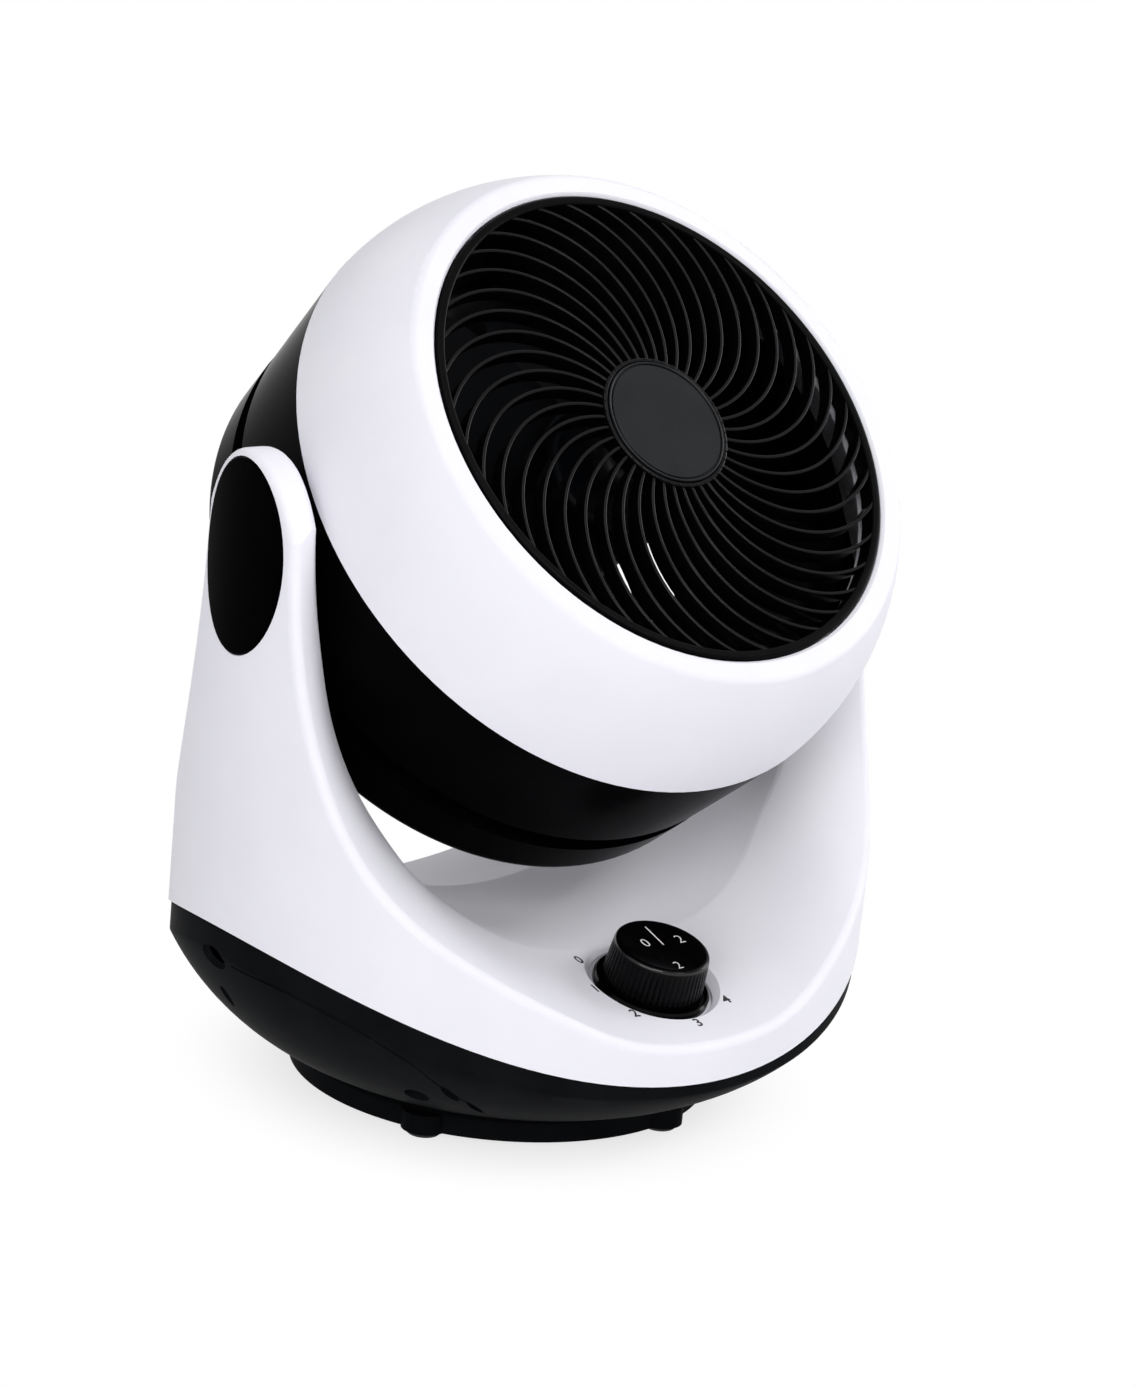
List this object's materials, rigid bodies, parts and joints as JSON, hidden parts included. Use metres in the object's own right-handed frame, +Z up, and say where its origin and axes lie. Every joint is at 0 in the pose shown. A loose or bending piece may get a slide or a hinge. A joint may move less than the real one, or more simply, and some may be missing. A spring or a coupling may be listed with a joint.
{
  "type": "air circulator fan",
  "caption": "Desktop air circulator: round tilting fan head with spiral grille in an oval U-shaped yoke that swivels on a disc foot, with a front speed knob.",
  "frame": {"origin": "on the floor under the swivel axis, at the middle of the centre pad", "axes": "+Z up along the swivel axis, -Y to the front where the knob is, +X along the head's tilt axis"},
  "size_m": [0.284, 0.2433, 0.3444],
  "materials": {
    "white_shell": "moulded satin white",
    "black_shell": "moulded gloss black",
    "black_tray": "moulded fine grain black",
    "dark_inner": "moulded dark grey",
    "impeller": "moulded smoke blue-grey",
    "foot_rubber": "moulded",
    "screw_steel": "zinc plated",
    "shaft_steel": "ground",
    "lamination": "stacked sheet",
    "winding": null,
    "bearing_bronze": "sintered",
    "nylon": "moulded natural",
    "motor_can": "pressed sheet"
  },
  "bodies": {
    "pedestal": {"pedestal_plate": "black_tray", "foot_pads": "foot_rubber", "centre_pad": "foot_rubber", "swivel_spine": "dark_inner", "spine_screws": "screw_steel", "thrust_washer": "nylon", "retaining_clip": "shaft_steel", "sector_gear": "nylon"},
    "base": {"yoke_shell": "white_shell", "base_tray": "black_tray", "left_pivot_cap": "black_shell", "right_pivot_cap": "black_shell", "trunnion_bushes": "nylon", "tray_screws": "screw_steel", "dial_collar": "black_shell", "rotary_switch": "dark_inner", "swing_motor": "motor_can", "cord_inlet": "foot_rubber"},
    "head": {"front_ring": "white_shell", "front_grille": "black_shell", "grille_hub_cap": "black_shell", "fan_drum": "black_shell", "rear_cover": "black_shell", "cover_screws": "screw_steel", "motor_screws": "screw_steel", "motor_rear_bell": "motor_can", "motor_front_bell": "motor_can", "motor_bearings": "bearing_bronze", "motor_stator": "lamination", "stator_windings": "winding", "trunnion_pins": "shaft_steel", "friction_washers": "foot_rubber"},
    "rotor": {"impeller": "impeller", "spinner_nut": "dark_inner", "motor_shaft": "shaft_steel", "rotor_core": "lamination"},
    "knob": {"speed_knob": "black_shell", "switch_spindle": "shaft_steel"},
    "swing_drive": {"swing_pinion": "nylon"}
  },
  "joints": [
    {"name": "base_swivel", "type": "hinge", "parent": "pedestal", "child": "base", "pos_m": [0, 0, 0.0124], "axis": [0, 0, 1], "range_deg": [-45, 45]},
    {"name": "pinion_spin", "type": "hinge", "parent": "base", "child": "swing_drive", "pos_m": [0, 0.04725, 0.0308], "axis": [0, 0, 1], "range_deg": [-113, 113]},
    {"name": "head_tilt", "type": "hinge", "parent": "base", "child": "head", "pos_m": [0, -0.0037, 0.2173], "axis": [-1, 0, 0], "range_deg": [-42, 48]},
    {"name": "rotor_spin", "type": "hinge", "parent": "head", "child": "rotor", "pos_m": [0, -0.0037, 0.2173], "axis": [0, -0.7431, 0.6691], "continuous": true},
    {"name": "knob_turn", "type": "hinge", "parent": "base", "child": "knob", "pos_m": [0, -0.0828, 0.0627], "axis": [0, -0.2419, 0.9703], "range_deg": [0, 225]}
  ],
  "couplings": [
    {"joint": "pinion_spin", "follows": "base_swivel", "ratio": 2.5}
  ]
}
